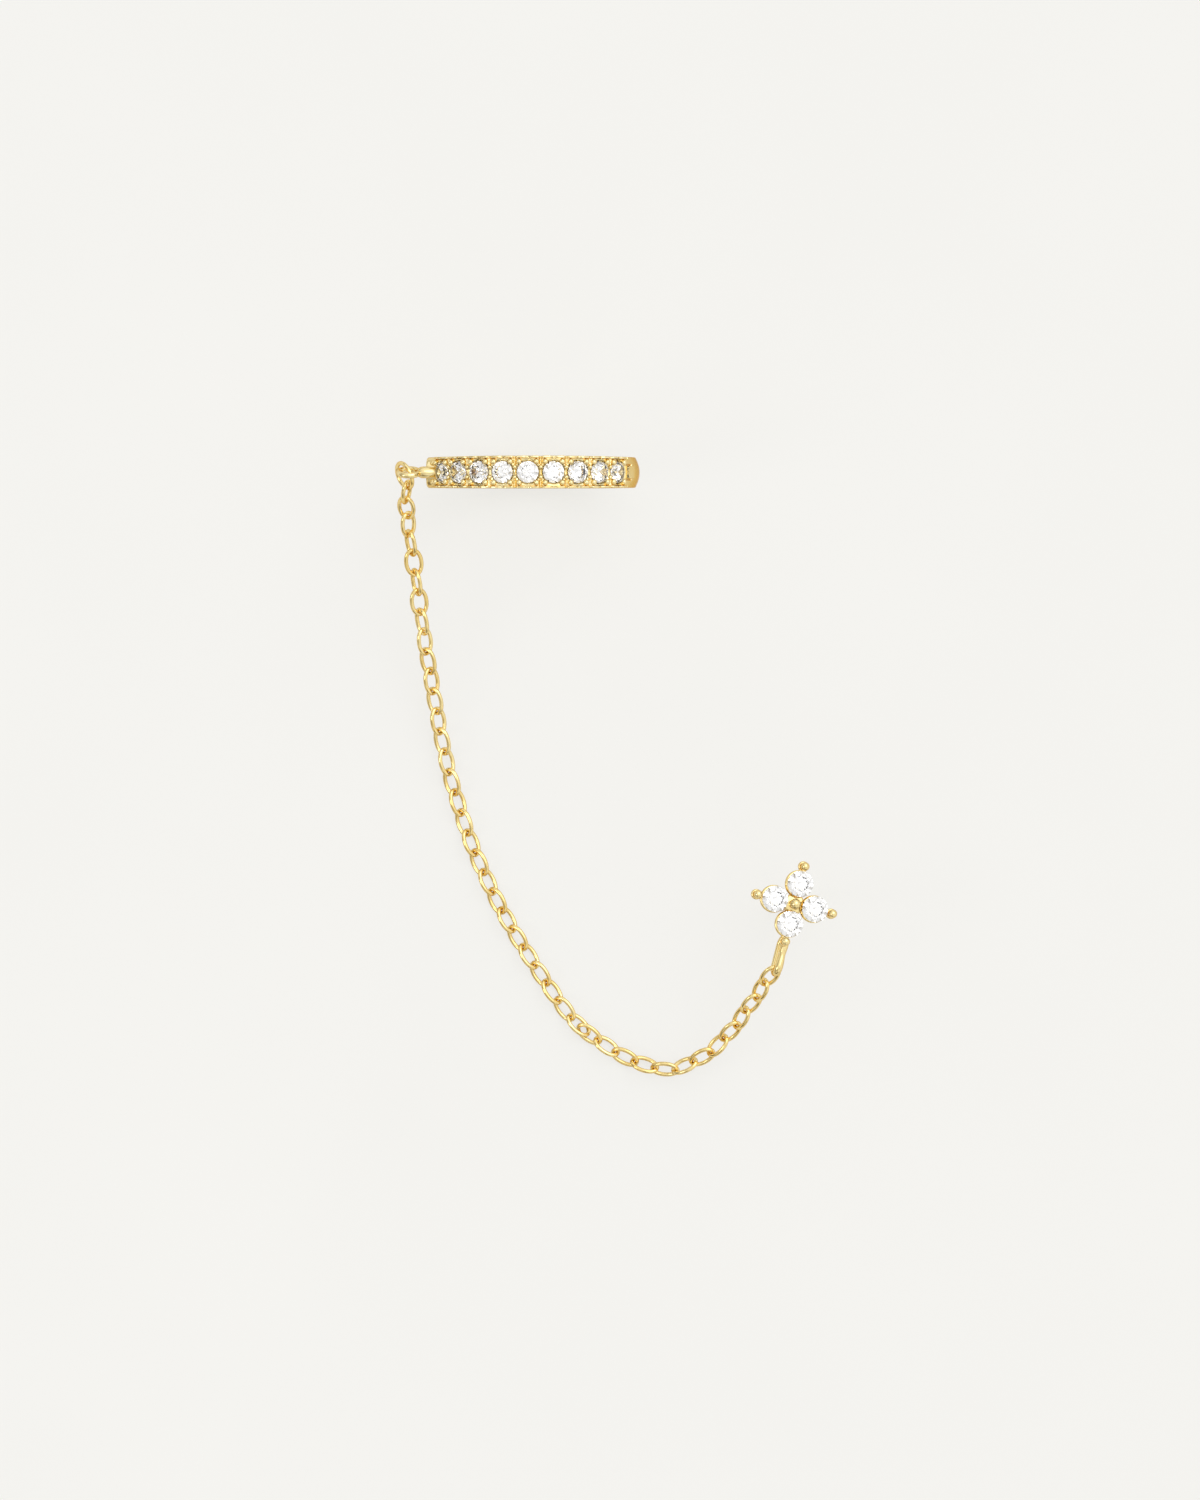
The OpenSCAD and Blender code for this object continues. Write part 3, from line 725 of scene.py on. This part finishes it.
def band_rings(angles):
    """One closed outline across the band for each angle: outer face, rounded edge, side, rounded
    inner edge and inner face. Point = (R sin angle, y, R cos angle). The far end is a half circle
    and the start has its corners cut."""
    from_start = np.radians(angles - BAND_START) * OUTER_R
    to_end = np.radians(BAND_START + BAND_SWEEP - angles) * OUTER_R
    waist = bell(from_nearest(angles, gap_angles), *WAIST_AT_GAP) * (angles < ROW_END)
    half = half_width(angles) - waist - np.clip(START_CHAMFER - from_start, 0.0, None)
    round_end = np.sqrt(np.maximum(HALF_WIDTH ** 2 - np.clip(HALF_WIDTH - to_end, 0, None) ** 2, 0))
    half = np.minimum(half, round_end + TIP_BLUNT)
    wanted_edge = ROW_EDGE + (PLAIN_EDGE - ROW_EDGE) * smooth_step(from_start, *EDGE_CHANGE)
    edge = np.minimum(wanted_edge, half * MOST_OF_HALF)
    into_round = np.clip(END_ROUND - from_start, 0, END_ROUND)
    start_round = END_ROUND - np.sqrt(END_ROUND ** 2 - into_round ** 2)
    half = half - start_round
    inner_edge = np.minimum(INNER_EDGE, half * MOST_OF_HALF)
    flat = half - edge

    y_top = across[None, :] / across.max() * flat[:, None]
    r_top = cuff_level(angles[:, None], y_top) - start_round[:, None]
    a = np.radians([30, 60, 90])[None, :]
    y_edge = flat[:, None] + edge[:, None] * np.sin(a)
    drop = edge[:, None] * (1 - np.cos(a))
    b = np.radians([0, 30, 60, 90])[None, :]
    y_in = half[:, None] - inner_edge[:, None] * (1 - np.cos(b))
    r_in = INNER_R + start_round[:, None] + inner_edge[:, None] * (1 - np.sin(b))
    y_floor = (half - inner_edge)[:, None] * np.array([[0.5, 0.0, -0.5]])
    r_floor = INNER_R + start_round[:, None] + 0 * y_floor
    y = np.concatenate([y_top, y_edge, y_in, y_floor, -y_in[:, ::-1], -y_edge[:, ::-1]], 1)
    r = np.concatenate([r_top, r_top[:, -1:] - drop, r_in, r_floor, r_in[:, ::-1],
                        (r_top[:, :1] - drop)[:, ::-1]], 1)
    phi = np.radians(angles)[:, None]
    return np.stack([r * np.sin(phi), y, r * np.cos(phi)], -1)


# %% The band's grid
# Rows lie across the outer face, closer at the rims; rings lie closer along the stones and the pad
OUTERMOST, RIM_FOOT, RIM_MIDDLE = 0.885, 0.775, 0.825
PAD_DEGREES, TIP_DEGREES = 9, 8.8
rim_rows = [-RIM_MIDDLE, -RIM_FOOT, RIM_FOOT, RIM_MIDDLE]
across = np.sort(np.concatenate([np.linspace(-OUTERMOST, OUTERMOST, 60), rim_rows]))
band_end = BAND_START + BAND_SWEEP
start_steps = BAND_START + np.array([0.0, 0.08, 0.2, 0.32])
row_steps = np.linspace(BAND_START + 0.4, ROW_END + PAD_DEGREES, 500)
plain_steps = np.linspace(ROW_END + PAD_DEGREES + 2, band_end - TIP_DEGREES - 0.2, 76)
tip_steps = band_end - TIP_DEGREES * (1 - np.sin(np.linspace(0.03, 1, 18) * np.pi / 2))
band_angles = np.concatenate([start_steps, row_steps, plain_steps, tip_steps])
band_skin = carried(band_rings(band_angles))
print("band has", len(band_angles), "rings")

# %% [markdown]
# ## The beads
# The setter raises small beads from the ledge and pushes them over the stones: two at each side
# of a gap, and a smaller one by each end of the slot. They are little balls sunk in the ledge. The
# last gap has no stone behind it, so it has a bead on its stone's side only.


# %% Beads round the stones
def ball(centre, radius, rows=8, steps=14):
    """A sphere with its poles along Z, as a lathe skin."""
    frame_at = (np.asarray(centre, float), x_axis, y_axis, z_axis)
    return turned(arc_points((0, 0), radius, -90, 90, rows), frame_at, steps)


def on_band(angle, radius, y):
    """The place at an angle from the top, a distance from the cuff's axis and y along it."""
    phi = np.radians(angle)
    return np.array([radius * np.sin(phi), y, radius * np.cos(phi)])


BEAD_STEP, BEAD_ROW, BEAD_R, BEAD_D = 0.25, 0.60, 6.12, 0.36
SMALL_BEAD_ROW, SMALL_BEAD_R, SMALL_BEAD_D = 0.29, 6.10, 0.27


def bead_places():
    """(angle, radius, y, diameter) of each bead."""
    step = np.degrees(BEAD_STEP / GIRDLE_R)
    at_ends = {0: [-step, step / 2], len(gap_angles) - 1: [-step]}
    for k, gap in enumerate(gap_angles):
        for side in (-1, 1):
            for shift in at_ends.get(k, [-step, step]):
                inwards = HALF_WIDTH - half_width(gap + shift)
                yield gap + shift, BEAD_R, side * (BEAD_ROW - inwards), BEAD_D
            if k not in at_ends:
                yield gap, SMALL_BEAD_R, side * SMALL_BEAD_ROW, SMALL_BEAD_D


beads = [ball(on_band(angle, radius, y), size / 2) for angle, radius, y, size in bead_places()]
print(len(beads), "beads")

# %% [markdown]
# ## Stem and loop
# A short stem is soldered to the band's end and carries a round loop. The stem is thicker beside the
# loop and flares again where the solder runs on to the band, so it is a lathe skin along X.

# %% Stem and loop of the cuff
STEM_CENTRE, LOOP_CENTRE = np.array([-5.95, 0.0, 2.112]), np.array([-7.054, 0.0, 2.112])
LOOP_R, LOOP_WIRE, LOOP_LEAN = 0.57, 0.34, 19
# Radius, and place along X from the loop's side to inside the band
stem_profile = [(0, -0.62), (0.14, -0.62), (0.25, -0.56), (0.31, -0.44), (0.335, -0.3), (0.335, -0.12),
                (0.325, 0.02), (0.31, 0.14), (0.305, 0.26), (0.31, 0.38), (0.33, 0.5), (0.35, 0.6),
                (0.35, 0.9), (0, 0.9)]
stem_skin = turned(stem_profile, (STEM_CENTRE, y_axis, z_axis, x_axis), 32)
lean = np.radians(90 + LOOP_LEAN)
loop_normal = np.array([0, -np.sin(lean), np.cos(lean)])
loop_across = np.array([0, np.cos(lean), np.sin(lean)])
around = circle_angles(72)[:, None]
loop_path = LOOP_CENTRE + LOOP_R * (np.cos(around) * x_axis + np.sin(around) * loop_across)
loop_skin = wire(loop_path, loop_normal, LOOP_WIRE, sides=20)
add_piece("ear_cuff", [band_skin, stem_skin, loop_skin, *beads], cuff_gold, ["cuff_band"])

# %% [markdown]
# ## The jump ring
# A jump ring is a turn of round wire cut from a coil and closed by hand, so a fine seam stays. Its
# place is read from the CAD ring. The wire stops a hair's breadth before it meets itself.

# %% The ring with its seam
RING_WIRE, RING_INSET = 0.24, 0.012
SEAM, SEAM_PLACE = 1.1, 35
ring_corners, _ = cad_corners("jump_ring")
centre, along, sideways, normal = flat_frame(ring_corners)
ring_r = np.linalg.norm(ring_corners - centre, axis=1).max() - RING_WIRE / 2 - RING_INSET
turn = np.radians(np.linspace(SEAM, 360 - SEAM, 90) + SEAM_PLACE)[:, None]
ring_path = centre + ring_r * (np.cos(turn) * along + np.sin(turn) * sideways)
add_piece("ring_of_wire", [wire(ring_path, normal, RING_WIRE, closed=False)], chain_gold,
          ["jump_ring"])

# %% [markdown]
# ## The cable chain
# Each link is an oval of drawn wire, soldered shut, and hooks into the next at a different roll.
# The CAD chain has all the links loose in one node, so its corners are parted by spreading the
# lowest number over each connected piece. A link's own spread gives its place, its long direction and
# its plane. The wire is a little thicker than in the exact model, whose loose links have to stay
# clear of each other, and so comes closer to the photo's.


# %% Parting the links
def loose_parts(node):
    """Groups of corners that triangles join: labels spread until nothing changes."""
    corners, triangles = cad_corners(node)
    label = np.arange(len(corners))
    while True:
        lowest = label[triangles].min(1)
        spread = label.copy()
        for k in range(3):
            np.minimum.at(spread, triangles[:, k], lowest)
        if (spread == label).all():
            return [corners[label == one] for one in np.unique(label)]
        label = spread


links = loose_parts("chain")
print(len(links), "links")

# %% Links of oval wire
LINK_WIRE, LINK_POWER = 0.235, 2.08
LINK_LENGTH, LINK_WIDTH = 1.72, 1.109
LINK_HALF, LINK_SIDE = (LINK_LENGTH - LINK_WIRE) / 2, (LINK_WIDTH - LINK_WIRE) / 2


def link_skin(corners):
    """A round wire along the oval |x / a|^n + |y / b|^n = 1, walked as x = a |cos t|^(2/n) and
    y = b |sin t|^(2/n) with the signs of the cosine and the sine."""
    centre, along, sideways, normal = flat_frame(corners)
    t = circle_angles(56)[:, None]
    x = np.sign(np.cos(t)) * np.abs(np.cos(t)) ** (2 / LINK_POWER)
    y = np.sign(np.sin(t)) * np.abs(np.sin(t)) ** (2 / LINK_POWER)
    return wire(centre + LINK_HALF * x * along + LINK_SIDE * y * sideways, normal, LINK_WIRE, sides=14)


add_piece("cable_chain", [link_skin(corners) for corners in links], chain_gold, ["chain"])

# %% [markdown]
# ## The flower's setting
# Four cups stand on a flat four-leafed base, and a thick plate under the middle ball joins their
# walls. Their frame follows from the petal stones: the middle is the mean of their places, Y points
# to the first stone and Z is their common axis. All parts are lathe skins or bars in that frame,
# rounded at the edges as casting and polishing leave them.

# %% The flower's own frame
petal_places = np.array([at[0] for at, _ in flower_frames])
FLOWER_MIDDLE = petal_places.mean(0)
flower_z = unit(np.mean([at[3] for at, _ in flower_frames], 0))
flower_y = unit(petal_places[0] - FLOWER_MIDDLE)
flower_x = np.cross(flower_y, flower_z)
PETAL_REACH = np.linalg.norm(petal_places[0] - FLOWER_MIDDLE)
TIP_REACH = 2.21
# The direction across each leaf and the direction out along it
leaves = [(np.cos(a) * flower_x + np.sin(a) * flower_y, np.cos(a) * flower_y - np.sin(a) * flower_x)
          for a in np.radians([0, 90, 180, 270])]
print("petals stand", round(PETAL_REACH, 3), "mm from the middle")


# %% Discs with rounded rims
def rounded_disc(radius, low, high, edge):
    """Profile of a disc whose two rims are quarter circles."""
    lower = arc_points((radius - edge, low + edge), edge, -90, 0, 5)
    upper = arc_points((radius - edge, high - edge), edge, 0, 90, 5)
    return np.concatenate([[(0, low)], lower, upper, [(0, high)]])


print("a disc's profile has", len(rounded_disc(1.0, 0.0, 0.3, 0.1)), "points")


# %% Arms
END_THICKNESS = 0.35


def bar(start, end, side, up, half_wide, half_thick):
    """A bar with a rounded end: rings of the oval |x / a|^4 + |z / b|^4 = 1. Past the end the width
    shrinks as sqrt(1 - p^2) for p from 0 to 1, and the thickness to END_THICKNESS of itself."""
    run = np.linspace(0, 1, 12)
    past = np.append(np.zeros(12), np.minimum(np.sin(np.linspace(0.1, 1, 7) * np.pi / 2), 0.995))
    run = np.append(run, np.ones(7))
    shrink = np.sqrt(1 - past ** 2)[:, None, None]
    way = end - start
    middle = start + run[:, None] * way + (past * half_wide)[:, None] * unit(way)
    a = circle_angles(20)[None, :, None]
    wide = np.sign(np.cos(a)) * np.abs(np.cos(a)) ** 0.5 * half_wide * shrink
    thick = np.sign(np.sin(a)) * np.abs(np.sin(a)) ** 0.5 * half_thick
    thick = thick * (END_THICKNESS + (1 - END_THICKNESS) * shrink)
    return carried(middle[:, None, :] + wide * side + thick * up)


# %% Cups, leaves, arms and lobes
BASE_LOW, BASE_HIGH, BASE_EDGE = -1.05, -0.80, 0.08
LEAF_R, LOBE_R, ARM_HALF = 0.79, 0.299, 0.21
# Radius and height over the middle of the stone's girdle, up the outside and down into the cup
cup_profile = np.array([(0, -0.85), (0.64, -0.85), (0.655, -0.80), (0.685, -0.55), (0.712, -0.25),
                        (0.716, -0.18), (0.706, -0.15), (0.690, -0.145), (0.672, -0.16), (0.5, -0.295),
                        (0.1, -0.622), (0, -0.70)])
leaf_profile = rounded_disc(LEAF_R, BASE_LOW, BASE_HIGH, BASE_EDGE)
lobe_profile = rounded_disc(LOBE_R, BASE_LOW, BASE_HIGH, BASE_EDGE)
arm_start = FLOWER_MIDDLE + (BASE_LOW + BASE_HIGH) / 2 * flower_z
arm_thick = (BASE_HIGH - BASE_LOW) / 2
flower_skins = []
for side, out in leaves:
    cup_frame = (FLOWER_MIDDLE + PETAL_REACH * out, side, out, flower_z)
    flower_skins.append(turned(cup_profile, cup_frame, 64))
    flower_skins.append(turned(leaf_profile, cup_frame, 64))
    arm_end = arm_start + TIP_REACH * out
    flower_skins.append(bar(arm_start, arm_end, side, flower_z, ARM_HALF, arm_thick))
    tip_frame = (FLOWER_MIDDLE + TIP_REACH * out, side, out, flower_z)
    flower_skins.append(turned(lobe_profile, tip_frame, 40))
print(len(flower_skins), "cups, leaves, arms and lobes")


# %% Prongs with balls
PRONG_FOOT = -1.0
PLATE_R, PLATE_TOP, PLATE_EDGE = 0.60, -0.58, 0.12


def prong_profile(foot_r, neck_r, ball_r, ball_z):
    """A post that narrows upwards and ends in a ball, from the base to the top of the ball."""
    neck = np.degrees(np.arcsin(neck_r / ball_r)) - 90
    post = [(0, PRONG_FOOT), (foot_r, PRONG_FOOT), (foot_r * 0.9, -0.8), (neck_r * 1.05, -0.45),
            (neck_r, -0.2)]
    return np.concatenate([post, arc_points((0, ball_z), ball_r, neck, 90, 14)])


tip_prong = prong_profile(foot_r=0.24, neck_r=0.19, ball_r=0.249, ball_z=0.10)
middle_prong = prong_profile(foot_r=0.3, neck_r=0.24, ball_r=0.32, ball_z=0.14)
middle_frame = (FLOWER_MIDDLE, flower_x, flower_y, flower_z)
for side, out in leaves:
    tip_frame = (FLOWER_MIDDLE + TIP_REACH * out, side, out, flower_z)
    flower_skins.append(turned(tip_prong, tip_frame, 36))
flower_skins.append(turned(middle_prong, middle_frame, 40))
flower_skins.append(turned(rounded_disc(PLATE_R, PRONG_FOOT, PLATE_TOP, PLATE_EDGE), middle_frame, 64))
print(len(leaves) + 1, "balls")

# %% [markdown]
# ## Bail and post
# The last link hangs in a fixed bail, a long ring of thicker wire soldered under the lowest petal.
# Its upper strand is thicker at both ends, where the solder and the polishing leave more metal.
# The post that goes through the ear stands in the middle of the base, straight down, with a
# rounded end.

# %% The bail
BAIL_THIN, BAIL_THICK, BAIL_R, BAIL_NEAR, BAIL_FAR = 0.26, 0.46, 0.46, 2.46, 3.63
BAIL_Z, BAIL_LEAN = -1.582, 14.5
# Depth and width of the bell that thins the upper strand, and its place along the bail
BAIL_WAIST, WAIST_AT = (0.45, 0.32), 2.95
UPPER_STRAND = (-0.3, 0.4)
bail_up = np.cos(np.radians(BAIL_LEAN)) * flower_z + np.sin(np.radians(BAIL_LEAN)) * flower_x
bend = np.radians(np.linspace(-90, 90, 25))
far = np.stack([BAIL_FAR + BAIL_R * np.cos(bend), BAIL_R * np.sin(bend)], 1)
near = np.stack([BAIL_NEAR - BAIL_R * np.cos(bend), -BAIL_R * np.sin(bend)], 1)
run = np.linspace(0, 1, 14)[1:-1, None]
lower_strand = far[-1] + run * (near[0] - far[-1])
upper_strand = near[-1] + run * (far[0] - near[-1])
outline = np.concatenate([far, lower_strand, near, upper_strand])
bail_path = FLOWER_MIDDLE + BAIL_Z * flower_z - outline[:, :1] * flower_y + outline[:, 1:] * bail_up
bail_waist = bell(outline[:, 0] - WAIST_AT, *BAIL_WAIST)
upper_share = smooth_step(outline[:, 1], *UPPER_STRAND) * (1 - bail_waist)
bail_thick = BAIL_THIN + (BAIL_THICK - BAIL_THIN) * upper_share
flower_skins.append(wire(bail_path, unit(np.cross(flower_y, bail_up)), bail_thick, sides=20))
print("bail's wire from", round(bail_thick.min(), 2), "to", round(bail_thick.max(), 2), "mm")

# %% The post, and the whole flower
POST_R, POST_TIP = 0.4, -7.55
solder = [(POST_R, -1.35), (0.42, -1.2), (0.5, -1.08), (0.55, -1.0), (0, -0.95)]
post_profile = np.concatenate([arc_points((0, POST_TIP + POST_R), POST_R, -90, 0, 10), solder])
flower_skins.append(turned(post_profile, middle_frame, 40))
add_piece("flower_stud", flower_skins, flower_gold, ["flower_setting"])
